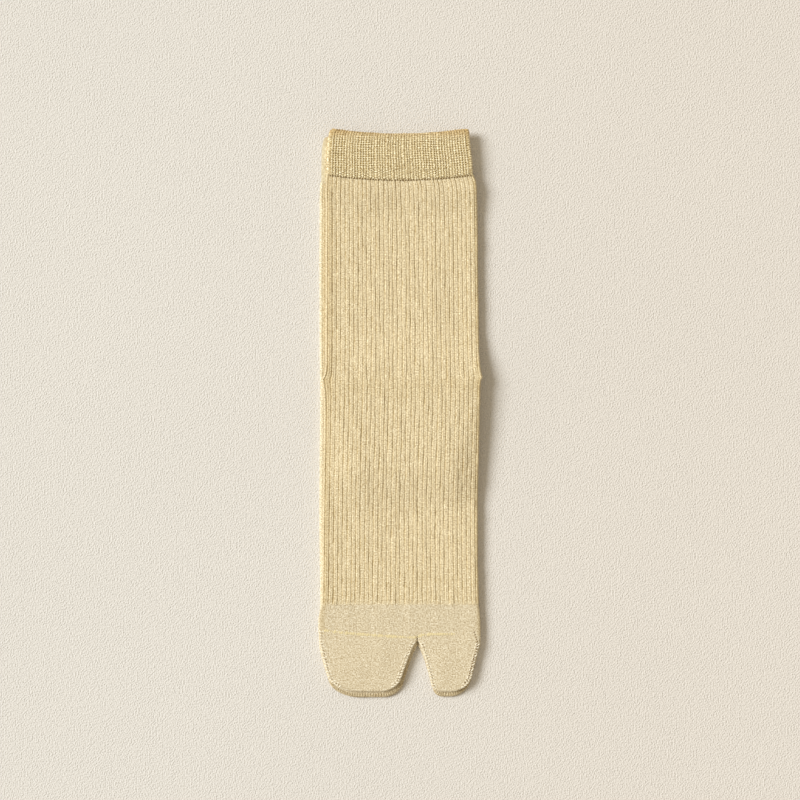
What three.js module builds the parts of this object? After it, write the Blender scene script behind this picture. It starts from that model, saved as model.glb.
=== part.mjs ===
// A pair of split-toe crew socks in a fine rib, laid flat one on the other.
// The right sock is on top with its instep up. The left sock is under it with its sole up, so both big toes point
// the same way. Both heel pockets lie between the socks, folded flat towards the toes.
//
// Millimetres. X runs across the socks towards the big toes, Y along them towards the cuffs, and Z is up.
// The tables are in one sock's own plan: X from the middle of its leg, Y from the fold line of its heel.

import * as THREE from "three";

// ---- Driving dimensions ----

const KNIT_WALL = 1.0; // one layer of the knit, in the grooves between the ribs
const WELT_WALL = 1.7; // the cuff is a turned welt, so its wall is two layers
const INSIDE_GAP = 0.35; // between the two walls of a flattened tube
const MOUTH_GAP = 0.9; // the same at the upper cuff's mouth, which stands a little open
const LAYER_GAP = 0.3; // between things that lie on each other
const SEAM_GAP = 0.3; // between pieces that are joined by a seam

const RIBS = { count: 34, height: 0.3 }; // across one face of the leg
const CUFF_RIBS = { count: 50, height: 0.2 }; // the same for the finer rib of the cuff

const HEEL_THICK = 2.0; // a folded heel pocket: two layers of the knit
const HEEL_DEPTH = 46; // from the heel's fold line to the folded pocket's tip
const HEEL_TOP_HALF = 42; // half the folded pocket's width at the fold line
const HEEL_TIP_HALF = 22; // and at its tip, before the round corners
const DRAPE = 28; // the cloth above comes down from the folded heels over this distance

// Below the cuff's seam, where a leg leaves the cuff's level and where it is down.
const LOWER_STEP = { from: 3.2, to: 12 };
const UPPER_STEP = { from: 7, to: 24 };
const OVERHANG_SAG = 0.9; // how far the upper sock's free edge drops past the lower sock

const TOE_LENGTH = 31; // of both toe pockets
const TIP_NOSE = 0.3; // half the height that is left at the very end of a rounded tip

// The lower sock's place under the upper one: pushed to the side and towards the toes, and turned a little.
const LOWER_SHIFT = { x: -2.8, y: -3.2 };
const LOWER_TURN = 0.009; // radians
const LOWER_RIGHT = 42.3; // the furthest that its edge reaches, in the upper sock's plan

// ---- Tables: a row is a section across a sock, and dip is how far its middle hangs below its ends ----

const CUFF_ROWS = [
  { y: 139.7, left: -39.6, right: 35.8, dip: 2.4, open: 1.0, round: 0.5 },
  { y: 139.0, left: -40.6, right: 36.6, dip: 2.4, open: 1.0, round: 0.1 },
  { y: 136.5, left: -41.9, right: 37.2, dip: 2.4, open: 0.9, round: 0 },
  { y: 130.0, left: -42.3, right: 37.6, dip: 2.5, open: 0.5, round: 0 },
  { y: 121.5, left: -42.5, right: 38.6, dip: 2.6, open: 0.1, round: 0 },
  { y: 112.6, left: -42.5, right: 39.1, dip: 2.8, open: 0.0, round: 0 },
];

const SEAM_Y = CUFF_ROWS.at(-1).y;

// under: the lower sock has this row too, as its plain shape needs fewer.
const LEG_AND_FOOT_ROWS = [
  { y: SEAM_Y - SEAM_GAP, left: -42.5, right: 39.1, dip: 2.8, under: true },
  { y: 107.5, left: -42.5, right: 41.0, dip: 2.5, under: true },
  { y: 101.5, left: -42.5, right: 41.3, dip: 1.8, under: true },
  { y: 95.0, left: -42.5, right: 41.5, dip: 1.2, under: false },
  { y: 87.0, left: -42.5, right: 41.7, dip: 0.6, under: true },
  { y: 60.0, left: -42.5, right: 42.2, dip: 0, under: true },
  { y: 29.0, left: -42.5, right: 42.6, dip: 0, under: false },
  { y: 20.0, left: -42.6, right: 42.7, dip: 0, under: false },
  { y: 12.0, left: -42.7, right: 42.9, dip: 0, under: false },
  { y: 5.0, left: -43.2, right: 43.3, dip: 0, under: true },
  { y: 0.5, left: -45.4, right: 44.3, dip: 0, under: true },
  { y: -4.5, left: -45.0, right: 43.0, dip: 0, under: true },
  { y: -14.0, left: -42.9, right: 42.5, dip: 0, under: true },
  { y: -30.0, left: -43.1, right: 42.2, dip: 0, under: false },
  { y: -47.5, left: -43.4, right: 41.9, dip: 0, under: false },
  { y: -55.0, left: -43.6, right: 41.7, dip: 0, under: false },
  { y: -63.0, left: -43.8, right: 41.5, dip: 0, under: false },
  { y: -76.0, left: -44.0, right: 41.4, dip: 0, under: true },
  { y: -100.0, left: -44.3, right: 41.5, dip: 0, under: false },
  { y: -122.0, left: -44.8, right: 41.9, dip: 0, under: true },
  { y: -127.0, left: -45.6, right: 42.3, dip: 0, under: true },
];

const FOREFOOT_ROWS = [
  { y: -127.0 - SEAM_GAP, left: -45.6, right: 42.3, dip: 0 },
  { y: -132.0, left: -47.0, right: 42.9, dip: 0 },
  { y: -144.2, left: -47.3, right: 43.4, dip: 0 },
];

const TOE_ROOT_Y = -144.2 - SEAM_GAP;

// A toe pocket tapers from its root and ends in round corners. A side is its place at the root, how far it has come
// in at the tip, and the width and length of its corner.
const FOUR_TOES = {
  left: { root: -47.3, taper: 6.0, wide: 9.0, long: 10.0 },
  right: { root: 7.7, taper: 7.5, wide: 8.0, long: 8.0 },
};
const BIG_TOE = {
  left: { root: 8.0, taper: 6.6, wide: 7.0, long: 6.0 },
  right: { root: 43.4, taper: 5.2, wide: 8.0, long: 6.0 },
};
const TAPER_BOW = 0.85; // below 1, a taper is quickest near the root
const TOE_SECTIONS = [31, 24, 16, 10, 6, 3.5, 2]; // by their distance from the tip

// The rim of a folded heel pocket, from its upper face to its lower one: in from the outline, and up. The notch in
// the middle is where its two layers part.
const HEEL_RIM = [
  { inwards: 0.8, up: 1 },
  { inwards: 0.15, up: 0.8 },
  { inwards: 0, up: 0.45 },
  { inwards: 0.7, up: 0 },
  { inwards: 0, up: -0.45 },
  { inwards: 0.15, up: -0.8 },
  { inwards: 0.8, up: -1 },
];
const HEEL_CORNER = 9; // radius in plan

const ACROSS = 17; // steps across a plain face

// ---- How high everything lies ----

const smooth = (t) => {
  const c = Math.min(1, Math.max(0, t));
  return c * c * (3 - 2 * c);
};
const mix = (a, b, t) => a + (b - a) * t;

const knitHalf = KNIT_WALL + INSIDE_GAP / 2;
const weltHalf = WELT_WALL + INSIDE_GAP / 2;

// 1 at the cuff's level, 0 where the leg has come down from it.
const nearCuff = (y, { from, to }) => 1 - smooth((SEAM_Y - from - y) / (to - from));

// 1 over the folded heel pockets, 0 where the cloth has come down around them.
function overHeel(x, y) {
  const half = mix(HEEL_TOP_HALF, HEEL_TIP_HALF, Math.min(1, Math.max(0, -y / HEEL_DEPTH)));
  const sideSlope = Math.atan2(HEEL_TOP_HALF - HEEL_TIP_HALF, HEEL_DEPTH);
  const beside = Math.max(0, (Math.abs(x) - half - 2) * Math.cos(sideSlope));
  const beyond = Math.max(0, y - 1, -HEEL_DEPTH - 3 - y);
  return 1 - smooth(Math.hypot(beside, beyond) / DRAPE);
}

// The middle height of each sock.
const lowerMid = (x, y) => mix(knitHalf, weltHalf, nearCuff(y, LOWER_STEP));
const soleTop = 2 * knitHalf;

function upperMid(x, y) {
  const foot = soleTop + LAYER_GAP + knitHalf;
  const leg = foot + RIBS.height;
  const cuff = 2 * weltHalf + CUFF_RIBS.height + LAYER_GAP + weltHalf;
  const lifted = overHeel(x, y);
  const sag = OVERHANG_SAG * smooth((x - LOWER_RIGHT + 1) / 4) * (1 - lifted);
  const down = mix(foot, leg, smooth((y + 10) / 20)) + 2 * (HEEL_THICK + LAYER_GAP) * lifted - sag;
  return mix(down, cuff, nearCuff(y, UPPER_STEP));
}

// ---- Sections: loops that run from the left fold over the upper face, the right fold and the underside ----

const plainFace = (steps) => Array.from({ length: steps + 1 }, (_, i) => ({ across: i / steps, up: 0 }));

const ribbedFace = ({ count, height }) =>
  Array.from({ length: 2 * count + 1 }, (_, i) => ({ across: i / (2 * count), up: height * (i % 2) }));

// One closed loop of a flattened tube, inset from the row's own sides. half is half its height. turn says how far
// round the loop a point is, so that two loops with different points can be joined.
function loop({ row, inset = 0, half, face, mid, ribShare = 1, foldSteps = 3, underSteps = ACROSS }) {
  const from = row.left + inset + half;
  const to = row.right - inset - half;
  const centre = (row.left + row.right) / 2;
  const yAt = (x) => row.y - row.dip * (1 - ((2 * (x - centre)) / (row.right - row.left)) ** 2);
  const points = [];
  const add = (x, z, turn) => points.push(Object.assign(new THREE.Vector3(x, yAt(x), z), { turn }));
  const addFold = (x, side, start) => {
    for (let i = 1; i < foldSteps; i++) {
      const angle = (Math.PI * i) / foldSteps;
      add(x + side * half * Math.sin(angle), mid(x, yAt(x)) + side * half * Math.cos(angle), start + i / foldSteps);
    }
  };
  for (const { across, up } of face) {
    const x = mix(from, to, across);
    add(x, mid(x, yAt(x)) + half + up * ribShare, across);
  }
  addFold(to, 1, 1);
  for (const { across } of plainFace(underSteps).toReversed()) {
    const x = mix(from, to, across);
    add(x, mid(x, yAt(x)) - half, 3 - across);
  }
  addFold(from, -1, 3);
  return points;
}

// ---- Walls ----

// The ring between an outer and an inner loop, seen from the cuff end.
function ringFaces(outer, inner) {
  const faces = [];
  const turnOf = (points, i) => (i < points.length ? points[i].turn : 4);
  let [i, j] = [0, 0];
  while (i < outer.length || j < inner.length) {
    const outerPoint = i % outer.length;
    const innerPoint = outer.length + (j % inner.length);
    const outerNext = j >= inner.length || (i < outer.length && turnOf(outer, i + 1) <= turnOf(inner, j + 1));
    if (outerNext) faces.push([outerPoint, ++i % outer.length, innerPoint]);
    else faces.push([outerPoint, outer.length + (++j % inner.length), innerPoint]);
  }
  return faces;
}

// A flat disc inside one loop, facing towards the cuff. flat gives a point's place in the disc's own plane.
function discFaces(points, flat) {
  return THREE.ShapeUtils.triangulateShape(points.map(flat), []).map(([a, b, c]) => {
    const [p, q, r] = [a, b, c].map((i) => flat(points[i]));
    return (q.x - p.x) * (r.y - p.y) - (q.y - p.y) * (r.x - p.x) > 0 ? [a, b, c] : [a, c, b];
  });
}

// Collects loops of points and the faces between them.
class Skin {
  points = [];
  faces = [];

  add(points) {
    this.points.push(...points);
    return { start: this.points.length - points.length, count: points.length };
  }

  // The band from one loop to the next of the same length.
  band(a, b, outwards = true) {
    for (let i = 0; i < a.count; i++) {
      const next = (i + 1) % a.count;
      this.face([a.start + i, b.start + i, a.start + next], outwards);
      this.face([a.start + next, b.start + i, b.start + next], outwards);
    }
  }

  face([a, b, c], outwards = true) {
    this.faces.push(outwards ? [a, b, c] : [a, c, b]);
  }

  geometry() {
    const geometry = new THREE.BufferGeometry();
    const coordinates = this.points.flatMap((p) => p.toArray());
    geometry.setAttribute("position", new THREE.Float32BufferAttribute(coordinates, 3));
    geometry.setIndex(this.faces.flat());
    geometry.computeVertexNormals();
    return geometry;
  }
}

// A tube's wall. The loops run from the cuff end to the toe end, which is open or a rounded tip.
function wall(outer, inner, closed = false) {
  const skin = new Skin();
  const outside = outer.map((points) => skin.add(points));
  const inside = inner.map((points) => skin.add(points));
  outside.slice(1).forEach((here, i) => skin.band(outside[i], here));
  inside.slice(1).forEach((here, i) => skin.band(inside[i], here, false));
  const ring = (o, i, outwards) => {
    const place = (k) => (k < o.count ? o.start + k : i.start + k - o.count);
    const [a, b] = [o, i].map(({ start, count }) => skin.points.slice(start, start + count));
    for (const face of ringFaces(a, b)) skin.face(face.map(place), outwards);
  };
  const disc = ({ start, count }, outwards) => {
    const found = discFaces(skin.points.slice(start, start + count), (p) => new THREE.Vector2(-p.x, p.z));
    for (const face of found) skin.face(face.map((k) => start + k), outwards);
  };
  ring(outside[0], inside[0], true);
  if (closed) {
    disc(outside.at(-1), false);
    disc(inside.at(-1), true);
  } else {
    ring(outside.at(-1), inside.at(-1), false);
  }
  return skin.geometry();
}

// ---- The pieces of a sock; mid is the height of that sock's middle ----

function cuff(mid, mouthGap) {
  const gap = (row) => mix(INSIDE_GAP, mouthGap, row.open);
  // The underside stays where it rests, so an open mouth lifts the middle.
  const lifted = (row) => (x, y) => mid(x, y) + (gap(row) - INSIDE_GAP) / 2;
  const outer = CUFF_ROWS.map((row) => {
    const half = WELT_WALL + gap(row) / 2 - row.round;
    return loop({ row, inset: row.round, half, face: ribbedFace(CUFF_RIBS), mid: lifted(row) });
  });
  const inner = CUFF_ROWS.map((row) => {
    const half = gap(row) / 2 + row.round;
    return loop({ row, inset: WELT_WALL - row.round, half, face: plainFace(ACROSS), mid: lifted(row), foldSteps: 2 });
  });
  return wall(outer, inner);
}

function tube(rows, mid, face, ribShare = () => 1) {
  const outer = rows.map((row) => loop({ row, half: knitHalf, face, mid, ribShare: ribShare(row) }));
  const inner = rows.map((row) =>
    loop({ row, inset: KNIT_WALL, half: INSIDE_GAP / 2, face: plainFace(ACROSS), mid, foldSteps: 2 }),
  );
  return wall(outer, inner);
}

// How far a toe pocket's side has come in from its root, at a distance from the tip, on its outside (inset 0) or
// its inside.
function comeIn(side, fromTip, inset) {
  const along = 1 - fromTip / TOE_LENGTH;
  const inCorner = Math.min(1, Math.max(0, 1 - (fromTip - inset) / (side.long - inset)));
  return side.taper * along ** TAPER_BOW + (side.wide - inset) * (1 - Math.sqrt(1 - inCorner ** 2)) + inset;
}

function toePocket(shape, mid, across) {
  const rounded = [
    { fromTip: knitHalf, half: knitHalf },
    { fromTip: 0.4 * knitHalf, half: 0.8 * knitHalf },
    { fromTip: 0, half: TIP_NOSE },
  ];
  const sections = [...TOE_SECTIONS.map((fromTip) => ({ fromTip, half: knitHalf })), ...rounded];
  const face = plainFace(across);
  const at = (fromTip, inset) => ({
    y: TOE_ROOT_Y - TOE_LENGTH + fromTip,
    left: shape.left.root + comeIn(shape.left, fromTip, inset),
    right: shape.right.root - comeIn(shape.right, fromTip, inset),
    dip: 0,
  });
  const outer = sections.map((s) => loop({ row: at(s.fromTip, 0), half: s.half, face, underSteps: across, mid }));
  const inner = sections
    .filter((s) => s.fromTip >= knitHalf)
    .map((s) => ({ row: at(s.fromTip, KNIT_WALL), half: INSIDE_GAP / 2, face, underSteps: across, mid, foldSteps: 2 }))
    .map(loop);
  return wall(outer, inner, true);
}

// A folded heel pocket: one solid for its two layers. Its plan is a trapezoid with round corners at the tip.
function heel(bottom) {
  const plan = [];
  const add = (x, y) => plan.push(new THREE.Vector2(x, y));
  const sideSlope = Math.atan2(HEEL_TOP_HALF - HEEL_TIP_HALF, HEEL_DEPTH);
  const reach = HEEL_CORNER * Math.tan((Math.PI / 2 - sideSlope) / 2); // from the sharp corner to the round's ends
  const centreX = HEEL_TIP_HALF - reach;
  const sweep = Math.PI / 2 - sideSlope;
  const cornerAt = (t) => {
    const angle = -Math.PI / 2 + t * sweep;
    return [centreX + HEEL_CORNER * Math.cos(angle), -HEEL_DEPTH + HEEL_CORNER * (1 + Math.sin(angle))];
  };
  const steps = 5;
  const side = [1 / 3, 2 / 3].map((t) => [mix(cornerAt(1)[0], HEEL_TOP_HALF, t), mix(cornerAt(1)[1], 0, t)]);
  const right = [...Array.from({ length: steps + 1 }, (_, i) => cornerAt(i / steps)), ...side, [HEEL_TOP_HALF, 0]];
  for (const [x, y] of right) add(x, y);
  for (const [x, y] of right.toReversed()) add(-x, y);

  // Each point moves in along the bisector of its two edges.
  const inwards = plan.map((p, i) => {
    const before = p.clone().sub(plan.at(i - 1)).normalize();
    const after = plan[(i + 1) % plan.length].clone().sub(p).normalize();
    const normal = new THREE.Vector2(-before.y - after.y, before.x + after.x).normalize();
    return normal.divideScalar(Math.max(0.5, -before.y * normal.x + before.x * normal.y));
  });
  const skin = new Skin();
  const rings = HEEL_RIM.map((rim) =>
    skin.add(
      plan.map((p, i) => {
        const place = p.clone().addScaledVector(inwards[i], rim.inwards);
        return new THREE.Vector3(place.x, place.y, bottom + (HEEL_THICK / 2) * (1 + rim.up));
      }),
    ),
  );
  rings.slice(1).forEach((here, i) => skin.band(rings[i], here));
  for (const [{ start, count }, outwards] of [[rings[0], true], [rings.at(-1), false]]) {
    const found = discFaces(skin.points.slice(start, start + count), (p) => new THREE.Vector2(p.x, p.y));
    for (const face of found) skin.face(face.map((k) => start + k), outwards);
  }
  return skin.geometry();
}

// ---- Materials ----

const knit = (name, color) => Object.assign(new THREE.MeshStandardMaterial({ color, roughness: 0.95 }), { name });
const ribKnit = knit("rib_knit", 0xddc99e);
const weltKnit = knit("welt_knit", 0xd6c092);
const plainKnit = knit("plain_knit", 0xdccba6);

// ---- The pair ----

function sock(name, { mid, mouthGap, rows, legRibs, heelBottom }) {
  const group = new THREE.Group();
  group.name = name;
  const add = (piece, geometry, material) => {
    const mesh = new THREE.Mesh(geometry, material);
    mesh.name = `${name}_${piece}`;
    group.add(mesh);
  };
  add("cuff", cuff(mid, mouthGap), weltKnit);
  add("leg_and_foot", tube(rows, mid, ribbedFace(RIBS), legRibs), ribKnit);
  add("heel", heel(heelBottom), plainKnit);
  add("forefoot", tube(FOREFOOT_ROWS, mid, plainFace(ACROSS)), plainKnit);
  add("four_toe_pocket", toePocket(FOUR_TOES, mid, 8), plainKnit);
  add("big_toe_pocket", toePocket(BIG_TOE, mid, 6), plainKnit);
  return group;
}

const lowerHeelBottom = soleTop + LAYER_GAP;

const rightSock = sock("right_sock", {
  mid: upperMid,
  mouthGap: MOUTH_GAP,
  rows: LEG_AND_FOOT_ROWS,
  legRibs: () => 1,
  heelBottom: lowerHeelBottom + HEEL_THICK + LAYER_GAP,
});

// The left sock rests on its instep. Its upper face is ribbed on the back of the leg and plain on the sole.
const leftSock = sock("left_sock", {
  mid: lowerMid,
  mouthGap: INSIDE_GAP,
  rows: LEG_AND_FOOT_ROWS.filter((row) => row.under),
  legRibs: (row) => smooth(row.y / 5),
  heelBottom: lowerHeelBottom,
});
leftSock.position.set(LOWER_SHIFT.x, LOWER_SHIFT.y, 0);
leftSock.rotation.z = LOWER_TURN;

// The origin is under the middle of the pair, on the surface that it lies on.
const pair = new THREE.Group();
pair.add(rightSock, leftSock);
pair.updateMatrixWorld(true);
const reach = new THREE.Box3().setFromObject(pair, true);
const middle = reach.getCenter(new THREE.Vector3());
pair.position.set(-middle.x, -middle.y, -reach.min.z);

export default pair;
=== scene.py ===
import math
from collections import namedtuple

import bpy
import numpy as np
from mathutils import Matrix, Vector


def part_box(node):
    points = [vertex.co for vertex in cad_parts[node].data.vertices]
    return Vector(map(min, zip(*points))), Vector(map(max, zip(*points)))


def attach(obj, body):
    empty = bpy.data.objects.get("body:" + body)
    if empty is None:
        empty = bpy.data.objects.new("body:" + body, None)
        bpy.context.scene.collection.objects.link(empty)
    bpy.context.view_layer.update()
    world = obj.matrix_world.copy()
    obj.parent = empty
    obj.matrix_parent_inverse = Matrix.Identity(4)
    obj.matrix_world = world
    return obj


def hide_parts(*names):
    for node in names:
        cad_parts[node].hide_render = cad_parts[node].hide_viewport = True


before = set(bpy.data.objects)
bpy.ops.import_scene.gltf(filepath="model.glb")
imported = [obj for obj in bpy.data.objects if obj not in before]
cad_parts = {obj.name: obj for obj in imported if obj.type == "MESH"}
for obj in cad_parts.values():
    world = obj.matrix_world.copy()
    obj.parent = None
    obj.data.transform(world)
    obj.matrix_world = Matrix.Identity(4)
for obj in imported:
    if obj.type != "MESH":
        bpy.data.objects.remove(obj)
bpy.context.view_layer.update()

bl_info = {
    "name": "Split-toe socks",
    "version": (1, 0, 0),
    "blender": (4, 5, 0),
    "location": "3D View > Sidebar > Socks",
    "description": "Knits a pair of split-toe crew socks, laid flat one on the other",
    "category": "Add Mesh",
}

# The socks are worked out in millimetres in their own plan, X from the middle of the leg and Y from the
# heel's fold line, and are put into the frame in metres. The right sock is on top with its instep up. The
# left one is under it with its sole up, so both have the same plan.

MM = 0.001
HEEL_LOW, HEEL_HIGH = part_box("right_sock_heel")
PLAN_ORIGIN = ((HEEL_LOW[0] + HEEL_HIGH[0]) / 2, HEEL_HIGH[1])

Row = namedtuple("Row", "y left right dip")

CUFF_ROWS = [
    Row(138.8, -39.4, 35.6, 2.8),
    Row(138.3, -40.4, 36.4, 2.8),
    Row(137.0, -41.3, 36.8, 2.7),
    Row(130.0, -42.3, 37.3, 2.6),
    Row(121.5, -42.5, 38.3, 2.6),
    Row(113.5, -42.5, 38.8, 2.8),
]
WALE = 0.83  # width of one wale of the plain knit
WALES_A_RIB = 3.0
WALE_DIP = 0.36  # how deep the middle of a rib dips, as a share of its height
WALES_A_WELT_RIB = 2.0
WELT_GROOVE = 0.8  # share of a welt rib's width that its groove takes
FOLD_RIBS = 2  # ribs round the fold at each side of a tube
WELT_STAGGER = 116.5  # below this the welt's stitches are staggered
# The rows of the welt's stitches stray by this from rib to rib.
ROW_STRAY = namedtuple("RowStray", "rate reach")(12.9898, 1.6)
TUBE_ROWS = [
    Row(113.2, -42.8, 38.9, 2.8),
    Row(109.0, -43.0, 40.4, 2.6),
    Row(101.5, -43.2, 41.0, 1.8),
    Row(87.0, -43.2, 41.3, 0.6),
    Row(60.0, -43.2, 41.6, 0.0),
    Row(20.0, -43.2, 42.1, 0.0),
    Row(5.0, -43.3, 42.3, 0.0),
    Row(-6.0, -43.4, 42.6, 0.0),
    Row(-30.0, -43.9, 42.2, 0.0),
    Row(-76.0, -44.8, 41.4, 0.0),
    Row(-122.0, -45.3, 41.9, 0.0),
    Row(-127.5, -45.9, 42.3, 0.0),
    Row(-131.0, -46.9, 42.8, 0.0),
    Row(-137.0, -47.3, 43.2, 0.0),
    Row(-145.5, -47.2, 43.3, 0.0),
]
TUBE_TOP = 113.2
RIBS_END = -127.0  # where the ribs stop and the plain band before the toes starts
TUBE_END = -144.6
TOES_START = -143.6
CLEFT_TOP = -147.3  # the two toe pockets lie side by side down to here

# The corners where the heel was turned stand out from the leg's sides. reach is how far, above and below
# are the lengths over which they come back, and depth is how far into the cloth they pull.
Corner = namedtuple("Corner", "side y reach above below depth")
CORNERS = [Corner(-1, -0.8, 3.2, 1.8, 7.5, 2.6), Corner(1, 0.2, 1.9, 4.5, 2.2, 5.0)]
LOWER_FOLD = 1.4  # how much wider than round the lower sock's left fold lies

# A toe pocket's side: its place at the root, how far it tapers in by the tip, whether it does so early (bow
# under 1) or late, and its round corner there.
Side = namedtuple("Side", "root taper bow wide long")
Pocket = namedtuple("Pocket", "left right")
TOES = {
    "four_toe_pocket": Pocket(Side(-47.2, 7.4, 1.25, 14.0, 8.5), Side(7.8, 11.2, 0.80, 9.0, 7.5)),
    "big_toe_pocket": Pocket(Side(8.0, 8.4, 0.72, 4.2, 3.8), Side(43.3, 7.0, 0.95, 9.5, 8.5)),
}
TIP_Y = -175.7
# How much further in the right sides of the lower sock's pockets come.
LOWER_SLIMMER = {"four_toe_pocket": 0.0, "big_toe_pocket": 2.0}

# Where the lower sock lies: how far to the side of the upper one at each y, how far towards the toes, and
# its turn.
LOWER_ASIDE = {-177: 1.3, -150: 0.2, -120: -1.2, -60: -2.4, 60: -3.6, 140: -3.4}
LOWER_DOWN = -3.3
LOWER_TURN = 0.009

# Soft rises and hollows in the upper sock: centre, height, half lengths and turn in degrees.
Swell = namedtuple("Swell", "x y height along across turn")
SWELLS = [
    Swell(-2, 101, -0.45, 8, 7, 0),
    Swell(-20, 104, 0.30, 9, 6, 0),
    Swell(15, 105, 0.30, 8, 6, 0),
    Swell(15, 38, 0.35, 32, 5, 0),
    Swell(-5, 46, -0.40, 18, 5, 0),
    Swell(30, 36, -0.40, 18, 7, 0),
    Swell(-16, 8, 0.30, 22, 5, -52),
    Swell(28, -68, 0.35, 34, 8, 0),
    Swell(-3, -84, -0.35, 15, 5, -38),
    Swell(-26, -40, 0.20, 30, 7, 4),
    Swell(-30, 70, 0.20, 24, 6, -3),
    Swell(4, -112, 0.20, 12, 14, 0),
    Swell(-20, -160, 0.35, 11, 17, 0),
    Swell(25, -161, 0.35, 10, 10, 0),
]
# Small uneven puckers all over it: size, lean, place of the wave and height.
PUCKERS = [(2.3, 0.4, 0.3, 0.035), (3.7, -0.7, 1.1, 0.05), (5.9, 0.9, 2.3, 0.06), (9.1, -0.3, 0.7, 0.07)]


# ---- Settings ----


def in_metres(name, description, default):
    """A length that can be set, in metres."""
    return bpy.props.FloatProperty(name=name, description=description, default=default, unit="LENGTH")


def how_many(name, description, default):
    """A number of things that can be set."""
    return bpy.props.IntProperty(name=name, description=description, default=default, min=4)


def tint(name, description, default):
    """A colour that can be set."""
    return bpy.props.FloatVectorProperty(
        name=name, description=description, subtype="COLOR", default=default, min=0, max=1
    )


class KnitSizes(bpy.types.PropertyGroup):
    """Sizes of the knit"""

    wall: in_metres("Wall", "Thickness of one layer of the knit", 0.001)
    welt_wall: in_metres("Welt wall", "Thickness of the cuff's two layers", 0.0017)
    inside_gap: in_metres("Inside gap", "Space between the two walls of a flattened tube", 0.00035)
    layer_gap: in_metres("Layer gap", "Space between things that lie on each other", 0.0003)
    heel_thickness: in_metres("Heel thickness", "Thickness of a folded heel pocket", 0.002)
    ribs: how_many("Ribs", "Ribs across one face of the leg", 34)
    rib_height: in_metres("Rib height", "How far a rib stands over its grooves", 0.00046)
    groove: bpy.props.FloatProperty(
        name="Groove", description="Share of a rib's width that its groove takes", default=0.48,
        subtype="FACTOR",
    )
    cuff_ribs: how_many("Cuff ribs", "Ribs across the cuff", 50)
    cuff_rib_height: in_metres("Cuff rib height", "Height of the cuff's finer ribs", 0.00048)
    course: in_metres("Course", "Height of one row of stitches", 0.00065)


class YarnColours(bpy.types.PropertyGroup):
    """Colours of the yarns"""

    rib: tint("Rib", "Leg and instep", (0.838, 0.722, 0.486))
    # The groove colour is painted shade in the grooves between the ribs.
    groove: tint("Groove", "Between the ribs", (0.590, 0.455, 0.225))
    welt: tint("Welt", "Cuff", (1.0, 0.878, 0.590))
    plain: tint("Plain", "Band, toes and heel", (0.778, 0.682, 0.492))
    seam: tint("Seam", "Linking seam over the toes", (0.80, 0.69, 0.41))
    floor: tint("Floor", "Surface under the socks", (0.826, 0.812, 0.788))


class SockSettings(bpy.types.PropertyGroup):
    """All that can be set for the pair"""

    sizes: bpy.props.PointerProperty(type=KnitSizes)
    colours: bpy.props.PointerProperty(type=YarnColours)


def sizes_mm():
    """The sizes of the knit in millimetres, by name."""
    sizes = bpy.context.scene.socks.sizes
    lengths = ("wall", "welt_wall", "inside_gap", "layer_gap", "heel_thickness", "course")
    found = {name: getattr(sizes, name) / MM for name in lengths}
    kind = namedtuple("Sizes", [*found, "ribs", "cuff_ribs"])
    return kind(**found, ribs=sizes.ribs, cuff_ribs=sizes.cuff_ribs)


# ---- Curves and heights in the plan ----


def smooth(t):
    c = np.clip(t, 0.0, 1.0)
    return c * c * (3.0 - 2.0 * c)


def mix(a, b, t):
    return a + (b - a) * t


def hump(at, middle, width):
    """1 at the middle, and softly 0 beyond the width on both sides of it."""
    return np.exp(-(((at - middle) / width) ** 2))


def curve_through(knots, values, at):
    """A smooth curve that doesn't overshoot, through values at ascending knots."""
    knots, values, at = (np.asarray(v, float) for v in (knots, values, at))
    step = np.diff(knots)
    slope = np.diff(values) / step
    tangent = np.zeros(len(knots))
    tangent[0], tangent[-1] = slope[0], slope[-1]
    same_way = slope[:-1] * slope[1:] > 0
    tangent[1:-1][same_way] = (2 * slope[:-1] * slope[1:])[same_way] / (slope[:-1] + slope[1:])[same_way]
    place = np.clip(np.searchsorted(knots, at) - 1, 0, len(step) - 1)
    h = step[place]
    t = np.clip((at - knots[place]) / h, 0.0, 1.0)
    rise = values[place + 1] - values[place]
    return (
        values[place] + rise * t * t * (3 - 2 * t)
        + h * t * (1 - t) * ((1 - t) * tangent[place] - t * tangent[place + 1])
    )


def section(rows, y):
    """The left side, the right side and the dip of a table's shape at y."""
    rows = sorted(rows)
    knots = [row.y for row in rows]

    def along(name):
        return curve_through(knots, [getattr(row, name) for row in rows], y)

    return along("left"), along("right"), along("dip")


def near_cuff(y, start, end):
    """1 at the cuff's level and 0 where the leg has come down from it."""
    return 1.0 - smooth((112.6 - start - y) / (end - start))


HEEL = namedtuple("Heel", "depth top_half tip_half corner")(46.0, 42.0, 22.0, 9.0)
HEEL_CENTRE = -21.0  # its edges are rounded by shrinking its outline towards here,
HEEL_REACH = 26.0  # from about this far away
LEG_CLEARANCE = 0.3  # the upper leg lies this much higher than the foot, on the lower leg's ribs
CUFF_CLEARANCE = 0.2  # and the upper cuff on the lower cuff's
DRAPE = 28.0  # the cloth comes down from the folded heels over this distance
SAG = namedtuple("Sag", "start reach depth")(41.3, 4.0, 0.9)  # and the upper sock's right fold sags by this


def heel_half(y):
    """Half the width of a folded heel pocket at y."""
    return mix(HEEL.top_half, HEEL.tip_half, np.clip(-y / HEEL.depth, 0, 1))


def over_heel(x, y):
    """1 over the folded heel pockets and 0 where the cloth has come down around them."""
    slope = math.atan2(HEEL.top_half - HEEL.tip_half, HEEL.depth)
    beside = np.maximum(0, (np.abs(x) - heel_half(y) - 2) * math.cos(slope))
    beyond = np.maximum(0, np.maximum(y - 1, -HEEL.depth - 3 - y))
    return 1 - smooth(np.hypot(beside, beyond) / DRAPE)


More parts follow.
